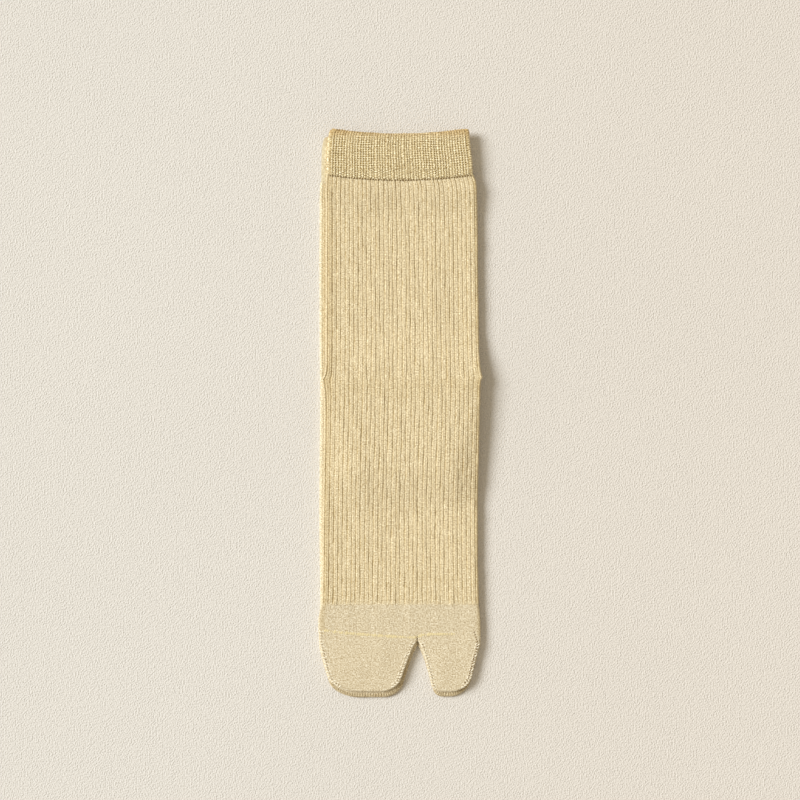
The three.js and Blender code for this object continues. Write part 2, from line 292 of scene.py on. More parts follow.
class Layer:
    """Where one sock of the pair lies: its place in the plan, and the height of its middle."""

    def __init__(self, name):
        self.name = name
        self.upper = name == "right_sock"
        self.sizes = sizes_mm()
        self.knit_half = self.sizes.wall + self.sizes.inside_gap / 2
        self.welt_half = self.sizes.welt_wall + self.sizes.inside_gap / 2

    def mid(self, x, y):
        s = self.sizes
        if not self.upper:
            return mix(self.knit_half, self.welt_half, near_cuff(y, 3.2, 12.0)) + 0 * x
        foot = 2 * self.knit_half + s.layer_gap + self.knit_half
        leg = foot + LEG_CLEARANCE
        cuff = 2 * self.welt_half + CUFF_CLEARANCE + s.layer_gap + self.welt_half
        lifted = over_heel(x, y)
        sag = SAG.depth * smooth((x - SAG.start) / SAG.reach) * (1 - lifted)
        heels = 2 * (s.heel_thickness + s.layer_gap) * lifted
        down = mix(foot, leg, smooth((y + 10) / 20)) + heels - sag
        return mix(down, cuff, near_cuff(y, 7.0, 24.0))

    def relief(self, x, y):
        """Soft unevenness of the upper face."""
        total = 0.0 * x
        if not self.upper:
            return total
        for swell in SWELLS:
            turn = math.radians(swell.turn)
            across = (x - swell.x) * math.cos(turn) + (y - swell.y) * math.sin(turn)
            along = -(x - swell.x) * math.sin(turn) + (y - swell.y) * math.cos(turn)
            fading = np.exp(-((across / swell.across) ** 2) - (along / swell.along) ** 2)
            total = total + swell.height * fading
        for size, lean, wave, height in PUCKERS:
            across = np.sin((x + lean * y) / size + wave)
            along = np.sin((y - lean * x) / (size * 1.7) + wave * 2)
            total = total + height * across * along
        # The edge of the heel's fold shows through as a low step, and so do its slanting sides and its tip.
        fold = -0.75 * (1 - smooth((2.5 - y) / 8.0)) * (1 - smooth((y - 4) / 22.0))
        within = smooth((heel_half(y) - np.abs(x)) / 4.0)
        within = within * smooth((y + HEEL.depth + 2) / 5.0) * smooth((3 - y) / 5.0)
        return total + fold * smooth((46 - np.abs(x)) / 8.0) + 0.30 * within

    def to_frame(self, x, y, z):
        """Points of this sock's plan, in the frame and in metres."""
        if not self.upper:
            sideways = curve_through(list(LOWER_ASIDE), list(LOWER_ASIDE.values()), y)
            x, y = x + sideways, y + LOWER_DOWN + LOWER_TURN * x
        return np.stack([x * MM + PLAN_ORIGIN[0], y * MM + PLAN_ORIGIN[1], z * MM], axis=-1)

    def top(self, x, y):
        """The height of the upper face."""
        return self.mid(x, y) + self.knit_half + self.relief(x, y)


# ---- Meshes ----


def make_mesh(name, points, quads, uvs, attributes=None):
    """A mesh object from points, four-sided faces, a UV for each face corner and named point values."""
    mesh = bpy.data.meshes.new(name)
    mesh.from_pydata(points.reshape(-1, 3).tolist(), [], quads.tolist())
    layer = mesh.uv_layers.new(name="knit")
    layer.data.foreach_set("uv", uvs.astype(np.float32).ravel())
    for key, values in (attributes or {}).items():
        stored = mesh.attributes.new(key, "FLOAT", "POINT")
        stored.data.foreach_set("value", values.astype(np.float32).ravel())
    mesh.polygons.foreach_set("use_smooth", np.ones(len(quads), bool))
    mesh.update()
    made = bpy.data.objects.new(name, mesh)
    bpy.context.scene.collection.objects.link(made)
    return made


def band(start, rows, columns, wraps, outwards=True):
    """The faces of a grid of points, and the grid place of each of their corners."""
    j, i = np.meshgrid(np.arange(rows - 1), np.arange(columns if wraps else columns - 1), indexing="ij")
    j, i = j.ravel(), i.ravel()
    corners = [(j, i), (j + 1, i), (j + 1, i + 1), (j, i + 1)]
    if not outwards:
        corners.reverse()
    quads = np.stack([start + a * columns + b % columns for a, b in corners], axis=1)
    return quads, np.stack([np.stack(c, axis=1) for c in corners], axis=1)


Columns = namedtuple("Columns", "across out up phase share sunk top")


def tube_columns(ribs, upper_steps, under_steps, fold_steps, fold_ribs, under_sunk):
    """The points round one cross line of a flattened tube, from the left end of its upper face.
    across is the share of the face's width, out and up the direction from the tube's middle height, phase
    counts ribs, share is how much of the ribs shows, sunk is 1 where they are cut in instead of raised, and
    top is 1 on the upper face."""
    upper = np.arange(upper_steps) / upper_steps
    under = np.arange(under_steps) / under_steps
    turn = np.arange(fold_steps) / fold_steps
    out, up = np.sin(np.pi * turn), np.cos(np.pi * turn)
    turned_under = smooth(turn * 2.6 - 1.2)
    on_fold = 1 - turned_under * (1 - under_sunk)
    sunk = under_sunk * turned_under
    facing = smooth(1 - turn * 1.6)
    under_phase = ribs + fold_ribs + under * ribs
    left_phase = 2 * ribs + fold_ribs + turn * fold_ribs
    parts = [
        (upper, 0.0, 1.0, upper * ribs, 1.0, 0.0, 1.0),
        (1.0, out, up, ribs + turn * fold_ribs, on_fold, sunk, facing),
        (1 - under, 0.0, -1.0, under_phase, under_sunk, under_sunk, 0.0),
        (0.0, -out, -up, left_phase, on_fold[::-1], sunk[::-1], facing[::-1]),
    ]
    parts = [np.broadcast_arrays(*part) for part in parts]
    return Columns(*[np.concatenate(values) for values in zip(*parts)])


def waver(phase, y):
    """How far the ribs stray sideways, in ribs."""

    def of_groove(rib):
        slow = 0.12 * np.sin(y / 13.0 + 2.1 * rib) * np.sin(y / 29.0 - 0.9 * rib)
        jog = 0.20 * np.sin(rib * 1.9) * (smooth((y + 1.5) / 2.0) - 0.5)
        return slow + jog + 0.045 * np.sin(y / 2.3 + 1.7 * rib) + 0.06 * np.sin(y / 5.1 + 2.37 * rib)

    rib = np.floor(phase)
    return mix(of_groove(rib), of_groove(rib + 1), phase - rib)


# The cross lines of a tube's outside or inside: where they are, the half height there, and the lift.
Lines = namedtuple("Lines", "ys half lift")


def tube_points(layer, rows, columns, lines, in_by):
    """The points of a flattened tube's cross lines. in_by is how far they lie inside its outer surface."""
    ys = lines.ys
    left, right, dip = (value[:, None] for value in section(rows, ys))
    half = np.broadcast_to(np.asarray(lines.half, float).reshape(-1, 1), (len(ys), 1))
    wide = 1.0 if layer.upper else LOWER_FOLD
    start, end = left + half * wide, right - half
    across = columns.across[None, :]
    spread = waver(columns.phase[None, :], ys[:, None]) / max(1.0, columns.phase.max() / 2)
    x0 = mix(start, end, np.clip(across + spread * across * (1 - across) * 4, 0, 1))
    x = x0 + columns.out[None, :] * (half * np.where(columns.out < 0, wide, 1.0) - in_by)
    for corner in CORNERS if layer.upper else CORNERS[1:]:
        away = ys[:, None] - corner.y
        reach = corner.reach * np.exp(-np.where(away > 0, away / corner.above, -away / corner.below))
        edge = right if corner.side > 0 else left
        x = x + corner.side * reach * np.exp(-np.abs(edge - x0) / corner.depth)
    y = ys[:, None] - dip * (1 - (2 * (x - (left + right) / 2) / (right - left)) ** 2)
    z = layer.mid(x0, y) + lines.lift + columns.up[None, :] * (half - in_by)
    z = z + layer.relief(x, y) * np.where(in_by > 0, 0.6, 1.0) * columns.top[None, :]
    return x, y, z


def tube_shell(layer, name, rows, columns, outer_lines, inner_lines, wall, wales, share):
    """A flattened tube as one closed wall: a fine outside, a plain inside and a ring at each open end."""
    outer = tube_points(layer, rows, columns, outer_lines, 0.0)
    inner = tube_points(layer, rows, columns, inner_lines, wall)
    ys, inner_ys = outer_lines.ys, inner_lines.ys
    count = len(columns.across)
    points = np.concatenate([layer.to_frame(*part).reshape(-1, 3) for part in (outer, inner)])
    inner_start = len(ys) * count
    outside, outside_at = band(0, len(ys), count, True)
    inside, inside_at = band(inner_start, len(inner_ys), count, True, outwards=False)
    i = np.arange(count)
    following = (i + 1) % count
    last_outer, last_inner = (len(ys) - 1) * count, inner_start + (len(inner_ys) - 1) * count
    cuff_end = np.stack([i, following, inner_start + following, inner_start + i], axis=1)
    toe_corners = [last_outer + following, last_outer + i, last_inner + i, last_inner + following]
    toe_end = np.stack(toe_corners, axis=1)

    phase = np.append(columns.phase, columns.phase[-1] * 2 - columns.phase[-2]) * wales
    rows_at = -ys / layer.sizes.course
    inner_rows_at = -inner_ys / layer.sizes.course

    def coordinates(at, lengths):
        return np.stack([phase[at[..., 1]], lengths[at[..., 0]]], axis=-1)

    ring_u = np.stack([phase[i], phase[i + 1], phase[i + 1], phase[i]], axis=1)
    ring_v = np.broadcast_to(np.array([0.0, 0.0, 1.5, 1.5]), ring_u.shape)
    uvs = np.concatenate([
        coordinates(outside_at, rows_at),
        coordinates(inside_at, inner_rows_at),
        np.stack([ring_u, ring_v], axis=-1),
        np.stack([ring_u[:, [1, 0, 3, 2]], ring_v], axis=-1),
    ])
    shown = share(columns.phase[None, :], columns.share[None, :], columns.top[None, :], outer[1])
    left, right, _ = section(rows, ys)
    from_left, from_right = outer[0] - left[:, None], right[:, None] - outer[0]
    # pale marks the lower sock's left edge, which faces the light; the materials paint a highlight there
    # from it.
    pale_width = 3.6 if rows is CUFF_ROWS else 1.6
    pale = np.zeros_like(shown) if layer.upper else smooth(1 - (from_left - 0.8) / pale_width)
    # Painted shade along the sides, where an edge turns away from the light and where the upper sock's edge
    # meets the lower one, and along the crease of the upper sock's heel fold.
    worn = hump(from_left, 1.8 if layer.upper else 3.2, 1.7) + hump(from_right, 0.8, 1.3)
    if layer.upper:
        worn = worn + 0.45 * hump(outer[1], -4.0, 5.5)
    blank = np.zeros(len(inner_ys) * count)
    attributes = {
        "rib_phase": np.concatenate([np.broadcast_to(columns.phase, (len(ys), count)).ravel(), blank]),
        "rib_share": np.concatenate([shown.ravel(), blank]),
        "rib_sunk": np.concatenate([(columns.sunk[None, :] * np.ones_like(shown)).ravel(), blank]),
        "along": np.concatenate([outer[1].ravel(), inner[1].ravel()]),
        "pale": np.concatenate([pale.ravel(), blank]),
        "worn": np.concatenate([worn.ravel(), blank]),
    }
    quads = np.concatenate([outside, inside, cuff_end, toe_end])
    return make_mesh(name, points, quads, uvs, attributes)


def as_plain_mesh(shaped):
    """Applies an object's modifiers and removes them."""
    depsgraph = bpy.context.evaluated_depsgraph_get()
    mesh = bpy.data.meshes.new_from_object(shaped.evaluated_get(depsgraph), depsgraph=depsgraph)
    mesh.name = shaped.name
    shaped.modifiers.clear()
    if shaped.type == "MESH":
        shaped.data = mesh
        return shaped
    made = bpy.data.objects.new(shaped.name, mesh)
    bpy.context.scene.collection.objects.link(made)
    bpy.data.objects.remove(shaped)
    return made


# ---- Node trees: expressions on sockets ----


def expression(operation, swapped=False):
    """An operator between a socket and another or a number."""

    def apply(self, other):
        return self.graph.math(operation, *((other, self) if swapped else (self, other)))

    return apply


class Wire:
    """A socket that can be used in an expression."""

    def __init__(self, graph, socket):
        self.graph, self.socket = graph, socket

    def of(self, output):
        """Another output of the same node."""
        return Wire(self.graph, self.socket.node.outputs[output])

    __add__ = __radd__ = expression("ADD")
    __sub__ = expression("SUBTRACT")
    __rsub__ = expression("SUBTRACT", swapped=True)
    __mul__ = __rmul__ = expression("MULTIPLY")
    __truediv__ = expression("DIVIDE")
    __pow__ = expression("POWER")


class Graph:
    """Makes the nodes of one tree."""

    def __init__(self, tree):
        self.tree = tree

    def node(self, kind, settings=None, sockets=None, output=0):
        made = self.tree.nodes.new(kind)
        for name, value in (settings or {}).items():
            setattr(made, name, value)
        for key, value in (sockets or {}).items():
            if isinstance(value, Wire):
                self.tree.links.new(value.socket, made.inputs[key])
            else:
                made.inputs[key].default_value = value
        return Wire(self, made.outputs[output]) if made.outputs else made

    def math(self, operation, *values):
        return self.node("ShaderNodeMath", {"operation": operation}, dict(enumerate(values)))

    def ramp(self, value, low, high, to_low=0.0, to_high=1.0):
        """value from low to high, as to_low to to_high with soft ends."""
        sockets = {"Value": value, 1: low, 2: high, 3: to_low, 4: to_high}
        return self.node("ShaderNodeMapRange", {"interpolation_type": "SMOOTHSTEP"}, sockets)

    def blend(self, share, a, b, how="MIX"):
        sockets = {0: share, 6: a, 7: b}
        return self.node("ShaderNodeMix", {"data_type": "RGBA", "blend_type": how}, sockets, output=2)

    def xyz(self, x, y, z=0.0):
        return self.node("ShaderNodeCombineXYZ", {}, {0: x, 1: y, 2: z})

    def place(self):
        return self.node("ShaderNodeTexCoord", {}, output="Object")

    def noise(self, coordinates, scale, detail=2.0):
        sockets = {"Vector": coordinates, "Scale": scale, "Detail": detail}
        return self.node("ShaderNodeTexNoise", {}, sockets)

    def attribute(self, name):
        return self.node("ShaderNodeAttribute", {"attribute_name": name}, output="Fac")


def dyed(name):
    """The colour set for a yarn, or for the floor."""
    return (*getattr(bpy.context.scene.socks.colours, name), 1.0)


def material(name):
    made = bpy.data.materials.new(name)
    made.use_nodes = True
    made.node_tree.nodes.clear()
    return made, Graph(made.node_tree)


def finish_material(graph, base, height, depth, roughness=0.95, sheen=0.25):
    """Ends a material: base colour, and height as bumps of the given depth in metres."""
    normal = graph.node("ShaderNodeBump", {}, {"Strength": 1.0, "Distance": depth, "Height": height})
    shader = graph.node("ShaderNodeBsdfPrincipled", {}, {
        "Base Color": base, "Roughness": roughness, "Normal": normal,
        "Sheen Weight": sheen, "Sheen Roughness": 0.6, "Specular IOR Level": 0.2,
    })
    graph.node("ShaderNodeOutputMaterial", {}, {"Surface": shader})


def knit_places(graph):
    """The knit UV in wales and courses."""
    uv = graph.node("ShaderNodeUVMap", {"uv_map": "knit"})
    wales = graph.node("ShaderNodeSeparateXYZ", {}, {0: uv}, output="X")
    return wales, wales.of("Y")


def stitches(graph, wales, courses, wave=0.5):
    """Plain knit, 1 on the yarn and 0 between the loops."""
    side = graph.math("ABSOLUTE", graph.math("FRACT", wales) - 0.5) * 2.0
    leg = 1.0 - graph.math("ABSOLUTE", side - 0.5) * 2.0
    climb = graph.math("FRACT", courses + side * wave)
    yarn = graph.math("SINE", climb * math.pi)
    return graph.math("POWER", leg, 0.5) * (yarn * 0.65 + 0.35)


def grey(graph, value):
    """A number as a colour, to multiply by."""
    return graph.node("ShaderNodeCombineColor", {}, {0: value, 1: value, 2: value})


Unevenness = namedtuple("Unevenness", "loops streaks rows clouds gaps")
RIB_UNEVENNESS = Unevenness(0.56, 0.16, 0.07, 0.05, 0.32)
WELT_UNEVENNESS = Unevenness(0.90, 0.12, 0.22, 0.12, 0.14)
PLAIN_UNEVENNESS = Unevenness(0.58, 0.14, 0.08, 0.03, 0.38)
# How far apart neighbouring wales and courses take their noise from, so that they are unlike each other.
APART = namedtuple("Apart", "wales courses")(7.31, 5.77)
GROOVE_BREAKS = 0.26  # how often a groove's shade changes along it, for each millimetre

# Colours that lie over the yarns' own: a painted highlight on the lower sock's left edge, which faces the
# light, painted shade along the edges, in the cuff's gaps and on the toe rims, a darker tone at the cuff's
# mouth, and the floor's painted falloff of light.
RIB_PAINTED_HIGHLIGHT = (1.0, 0.97, 0.80, 1.0)
RIB_PAINTED_SHADE = (0.62, 0.48, 0.24, 1.0)
WELT_GAP_SHADE = (0.40, 0.260, 0.040, 1.0)
WELT_MOUTH = (0.60, 0.40, 0.15, 1.0)
WELT_PAINTED_SHADE = (0.60, 0.44, 0.20, 1.0)
WELT_LIT_EDGE_TONE = (0.53, 0.46, 0.31, 1.0)
TOE_RIM_SHADE = (0.42, 0.300, 0.110, 1.0)
FLOOR_PAINTED_FALLOFF = (0.810, 0.777, 0.738, 1.0)


def knitted(graph, base, uneven, wave=0.5):
    """Shades a base colour as knitted cotton: each loop, wale and course takes the dye a little
    differently, and shade is painted between the loops. Returns the colour and the height of the yarn."""
    wales, courses = knit_places(graph)
    yarn = stitches(graph, wales, courses, wave)
    wale, course = graph.math("FLOOR", wales), graph.math("FLOOR", courses + 0.25)
    loop = graph.node("ShaderNodeTexWhiteNoise", {"noise_dimensions": "2D"},
                      {"Vector": graph.xyz(wale, course)})
    along_wale = graph.xyz(wale * APART.wales, courses * 0.16)
    streak = graph.noise(along_wale, 1.0, 1.0)
    along_course = graph.xyz(wales * 0.05, course * APART.courses)
    row = graph.noise(along_course, 1.0, 1.0)
    place = graph.place()
    clouds = graph.noise(place, 95.0, 3.0)
    on_loops = graph.xyz(wales * 1.1, courses * 0.9)
    fibres = graph.noise(on_loops, 1.0, 1.0)
    speckle = (fibres - 0.5) * 2.4 + (loop - 0.5) * 0.25
    shade = 1.0 + uneven.gaps * 0.42 + speckle * uneven.loops
    shade = shade + (streak - 0.5) * uneven.streaks + (row - 0.5) * uneven.rows
    # The last term paints shade between the loops.
    shade = shade + (clouds - 0.5) * uneven.clouds - (1.0 - yarn) * uneven.gaps
    shade = graph.math("MAXIMUM", shade, 0.05)
    golden = graph.node("ShaderNodeCombineColor", {}, {0: shade, 1: shade ** 1.25, 2: shade ** 1.7})
    height = yarn + loop * 0.6 + (streak + row) * 0.5
    return graph.blend(1.0, base, golden, "MULTIPLY"), height


def rib_knit():
    """The leg and foot: ribs down to the plain band before the toes."""
    made, graph = material("ribbed cotton")
    wales, _ = knit_places(graph)
    rib = graph.math("FLOOR", wales / WALES_A_RIB + 0.5)
    along = graph.attribute("along")
    groove_at = graph.xyz(rib * APART.wales, along * GROOVE_BREAKS)
    broken = (graph.noise(groove_at, 1.0, 1.0) - 0.5) * 2.6 + 0.72
    # Painted shade in the grooves: the yarn is blended towards the groove colour by how far down the rib's
    # profile it lies, broken up along each groove.
    groove = (1.0 - graph.attribute("rib_up")) * broken
    plain = graph.ramp(along, RIBS_END + 1.0, RIBS_END - 0.5)
    ribbed = graph.blend(groove, dyed("rib"), dyed("groove"))
    both = graph.blend(plain, ribbed, dyed("plain"))
    # Painted highlight: the lower sock's left edge, which faces the light, is blended towards a pale cream.
    painted_lit_edge = graph.blend(graph.attribute("pale") * 0.32, both, RIB_PAINTED_HIGHLIGHT)
    # Painted shade along the edges and the heel's fold crease, blended towards a deep golden brown.
    with_shade_painted = graph.blend(graph.attribute("worn") * 0.42, painted_lit_edge, RIB_PAINTED_SHADE)
    base, height = knitted(graph, with_shade_painted, RIB_UNEVENNESS)
    finish_material(graph, base, height, 0.00011)
    return made


def welt_knit():
    """The cuff: an open rib, with painted shade in the gaps where its columns and rows cross, darker
    towards its mouth.
    """
    made, graph = material("welt cotton")
    wales, courses = knit_places(graph)
    groove = 1.0 - graph.attribute("rib_up")
    along = graph.attribute("along")
    rib = graph.math("FLOOR", wales * 0.5)
    braided = graph.math("LESS_THAN", along, WELT_STAGGER)
    staggered = rib * braided
    stray = graph.math("SINE", rib * ROW_STRAY.rate) * ROW_STRAY.reach
    on_row = graph.math("COSINE", (courses + staggered) * math.pi + stray) * 0.5 + 0.5
    in_grooves = groove * (1.35 - on_row * (braided * 0.6 + 0.6))
    open_rows = in_grooves + (1.0 - on_row) * (braided * 0.15 + 0.22)
    gap = graph.math("MINIMUM", 1.0, open_rows)
    mouth = graph.ramp(along, 131.0, 135.5)
    # Painted light on the lower cuff's left edge, which faces the light: the painted shade of its gaps is
    # taken out, its colour is evened to a flat, less golden tone, and its bumps are flattened.
    pale = graph.attribute("pale")
    gap = gap * (1.0 - pale * 0.95) * (1.0 - mouth * 0.25)
    # Painted shade in the gaps and grooves: the yarn is blended towards a dark olive brown there.
    ribbed = graph.blend(gap, dyed("welt"), WELT_GAP_SHADE)
    toned = graph.blend(graph.ramp(along, 131.5, 138.5) * 0.80, ribbed, WELT_MOUTH)
    # Painted shade along the cuff's edges.
    with_shade_painted = graph.blend(graph.attribute("worn") * 0.22, toned, WELT_PAINTED_SHADE)
    base, height = knitted(graph, with_shade_painted, WELT_UNEVENNESS, 0.3)
    painted_lit_edge = graph.blend(pale * 0.80, base, WELT_LIT_EDGE_TONE)
    height = (height - gap * 1.8) * (1.0 - pale * 0.8)
    finish_material(graph, painted_lit_edge, height, 0.00018)
    return made


def plain_knit():
    """Toes and heels."""
    made, graph = material("plain cotton")
    # The toe rims are painted darker as shade.
    cloth = graph.blend(graph.attribute("rim"), dyed("plain"), TOE_RIM_SHADE)
    base, height = knitted(graph, cloth, PLAIN_UNEVENNESS)
    finish_material(graph, base, height, 0.00010)
    return made


def yarn_material(name, rgba):
    """A single thread, with its twist."""
    made, graph = material(name)
    place = graph.place()
    twist = graph.noise(place, 2600.0, 2.0)
    base = graph.blend(1.0, rgba, grey(graph, twist * 0.5 + 0.75), "MULTIPLY")
    finish_material(graph, base, twist, 0.0001)
    return made


MATERIALS = {
    "ribbed cotton": rib_knit,
    "welt cotton": welt_knit,
    "plain cotton": plain_knit,
    "seam yarn": lambda: yarn_material("seam yarn", dyed("seam")),
    "pale yarn": lambda: yarn_material("pale yarn", (1.0, 0.95, 0.80, 1.0)),
    # Dark beads for the needle marks, and painted shade in the welt's holes.
    "deep yarn": lambda: yarn_material("deep yarn", (0.21, 0.125, 0.04, 1.0)),
}


def finish_of(name):
    """A material by name, made when it is first asked for."""
    return bpy.data.materials.get(name) or MATERIALS[name]()


# ---- Geometry Nodes ----


def node_group(name, numbers):
    """A Geometry Nodes tree with a mesh in and out, named numbers and a material."""
    tree = bpy.data.node_groups.new(name, "GeometryNodeTree")
    kinds = {"Geometry": "Geometry", **dict.fromkeys(numbers, "Float"), "Material": "Material"}
    for key, kind in kinds.items():
        tree.interface.new_socket(key, in_out="INPUT", socket_type=f"NodeSocket{kind}")
    tree.interface.new_socket("Geometry", in_out="OUTPUT", socket_type="NodeSocketGeometry")
    graph = Graph(tree)
    start = graph.node("NodeGroupInput")
    return tree, graph, {key: start.of(key) for key in kinds}


def end_group(graph, geometry, finish):
    real = graph.node("GeometryNodeRealizeInstances", {}, {"Geometry": geometry})
    dressed = graph.node("GeometryNodeSetMaterial", {}, {"Geometry": real, "Material": finish})
    graph.node("NodeGroupOutput", {}, {"Geometry": dressed})


def run_group(shaped, tree, values):
    """Runs a tree on an object, and leaves a plain mesh."""
    modifier = shaped.modifiers.new(tree.name, "NODES")
    modifier.node_group = tree
    for item in tree.interface.items_tree:
        if item.in_out == "INPUT" and item.name in values:
            modifier[item.identifier] = values[item.name]
    return as_plain_mesh(shaped)


def rib_group():
    """Ribs: moves the points of a knit along their normals by the rib's rounded profile, with a dip in its
    middle."""
    found = bpy.data.node_groups.get("Ribs")
    if found:
        return found
    tree, graph, given = node_group("Ribs", ("Height", "Groove", "Wale dip"))

    def stored(name):
        return graph.node("GeometryNodeInputNamedAttribute", {"data_type": "FLOAT"}, {"Name": name})

    phase = stored("rib_phase")
    share = stored("rib_share")
    from_middle = graph.math("ABSOLUTE", graph.math("FRACT", phase) - 0.5) * 2.0
    flank = graph.ramp(from_middle, 1.0, 1.0 - given["Groove"])
    dip = graph.ramp(from_middle, 0.0, 0.26, 1.0, 0.0) * given["Wale dip"]
    profile = flank - dip
    up = profile * share - stored("rib_sunk") * share
    normal = graph.node("GeometryNodeInputNormal")
    rise = up * given["Height"]
    offset = graph.node("ShaderNodeVectorMath", {"operation": "SCALE"}, {0: normal, 3: rise})
    moved = graph.node("GeometryNodeSetPosition", {}, {"Geometry": given["Geometry"], "Offset": offset})
    # rib_up is how high up the rib's profile a point lies; the materials paint shade into the grooves from
    # it.
    shown = 1.0 - (1.0 - profile) * graph.math("MINIMUM", share, 1.0)
    kept = graph.node("GeometryNodeStoreNamedAttribute", {"data_type": "FLOAT", "domain": "POINT"},
                      {"Geometry": moved, "Name": "rib_up", "Value": shown})
    end_group(graph, kept, given["Material"])
    return tree


def stitch_group():
    """Stitches: lays short round stitches along a path, each turned by a slant from the path."""
    found = bpy.data.node_groups.get("Stitches")
    if found:
        return found
    numbers = ("Spacing", "Length", "Width", "Height", "Slant", "Unevenness")
    tree, graph, given = node_group("Stitches", numbers)
    points = graph.node("GeometryNodeCurveToPoints", {"mode": "LENGTH"},
                        {"Curve": given["Geometry"], "Length": given["Spacing"]})
    span = {2: -1.0, 3: 1.0, "Seed": 7}
    chance = graph.node("FunctionNodeRandomValue", {"data_type": "FLOAT"}, span, output=1)
    bead = graph.node("GeometryNodeMeshUVSphere", {}, {"Segments": 8, "Rings": 6, "Radius": 0.5})
    ahead = points.of("Tangent")
    facing = graph.node("FunctionNodeAlignRotationToVector", {"axis": "X"}, {"Vector": ahead})
    angle = given["Slant"] + chance * given["Unevenness"] * 0.6
    slant = graph.node("FunctionNodeAxisAngleToRotation", {}, {"Axis": (0.0, 0.0, 1.0), "Angle": angle})
    slanted = graph.node("FunctionNodeRotateRotation", {"rotation_space": "LOCAL"},
                         {"Rotation": facing, "Rotate By": slant})
    uneven = 1.0 + chance * given["Unevenness"]
    size = graph.xyz(given["Length"] * uneven, given["Width"], given["Height"])
    placed = graph.node("GeometryNodeInstanceOnPoints", {},
                        {"Points": points, "Instance": bead, "Rotation": slanted, "Scale": size})
    smooth_shaded = graph.node("GeometryNodeSetShadeSmooth", {}, {"Geometry": placed})
    end_group(graph, smooth_shaded, given["Material"])
    return tree


def declare(piece, layer, nodes):
    """Puts a finished piece of knit under the root, and hides the parts of the frame it takes the place of.
    """
    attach(piece, "root")
    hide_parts(*[f"{layer.name}_{node}" for node in nodes])


class ForEachSock:
    """Makes one kind of piece for the lower sock, and then for the upper one."""

    def execute(self, context):
        for name in ("left_sock", "right_sock"):
            self.make(Layer(name))
        return {"FINISHED"}


# ---- The pieces ----


class SOCKS_OT_tubes(ForEachSock, bpy.types.Operator):
    """Knit the leg and foot of both socks, ribbed, with the plain band before the toes"""

    bl_idname = "socks.tubes"
    bl_label = "Legs and feet"

    def make(self, layer):
        s = layer.sizes
        per_rib = 8 if layer.upper else 6
        fine = s.ribs * per_rib
        under_steps, under_sunk = (68, 0.0) if layer.upper else (fine, 1.0)
        columns = tube_columns(s.ribs, fine, under_steps, 2 * per_rib, FOLD_RIBS, under_sunk)
        ys = np.linspace(TUBE_TOP, TUBE_END + 1.1, 210 if layer.upper else 126)
        ys = np.append(ys, TUBE_END + np.array([0.7, 0.4, 0.0]))
        inner_ys = np.linspace(TUBE_TOP, TUBE_END, 33)

        def share(phase, shown, top, y):
            rib = np.floor(phase)
            ends = smooth((y - RIBS_END - 0.9 * np.sin(rib * 2.4)) / 2.0)
            vary = 0.92 + 0.22 * np.sin(rib * 2.399 + 0.4) * np.sin(y / 31.0 + rib)
            vary = vary + 0.22 * np.sin(y / 6.3 + rib * 1.9)
            vary = vary + 0.28 * np.sin(y / 2.1 + rib * 2.7) * np.sin(y / 9.7 + rib * 1.3)
            at_fold = hump(y, -3.5, 4.5)
            vary = vary * (1 - 0.12 * at_fold) + 0.35 * at_fold * np.sin(y / 0.55 + rib * 2.1)
            # Where the socks lie on each other, their ribs are pressed.
            vary = np.where(layer.upper & (top > 0.5), vary, np.minimum(vary, 0.9))
            # Deeper grooves at the tube's folds and beside the first rib; through rib_up they also get more
            # painted groove shade.
            from_fold = np.minimum(phase, 2 * (s.ribs + FOLD_RIBS) - phase)
            vary = vary + 0.6 * np.exp(-from_fold * 3.0) + 0.7 * np.exp(-np.abs(phase - 1.0) * 3.0)
            on_sole = 1.0 if layer.upper else 1.0 - top * smooth((6.0 - y) / 6.0)
            return shown * ends * vary * on_sole

        half = layer.knit_half - 0.14 * smooth((TUBE_END + 1.0 - ys) / 1.0)
        outer, inner = Lines(ys, half, 0.0), Lines(inner_ys, layer.knit_half, 0.0)
        name = f"{layer.name}_ribbed_tube"
        made = tube_shell(layer, name, TUBE_ROWS, columns, outer, inner, s.wall, WALES_A_RIB, share)
        settings = bpy.context.scene.socks.sizes
        made = run_group(made, rib_group(), {
            "Height": settings.rib_height, "Groove": settings.groove, "Wale dip": WALE_DIP,
            "Material": finish_of("ribbed cotton"),
        })
        declare(made, layer, ["leg_and_foot", "forefoot"])


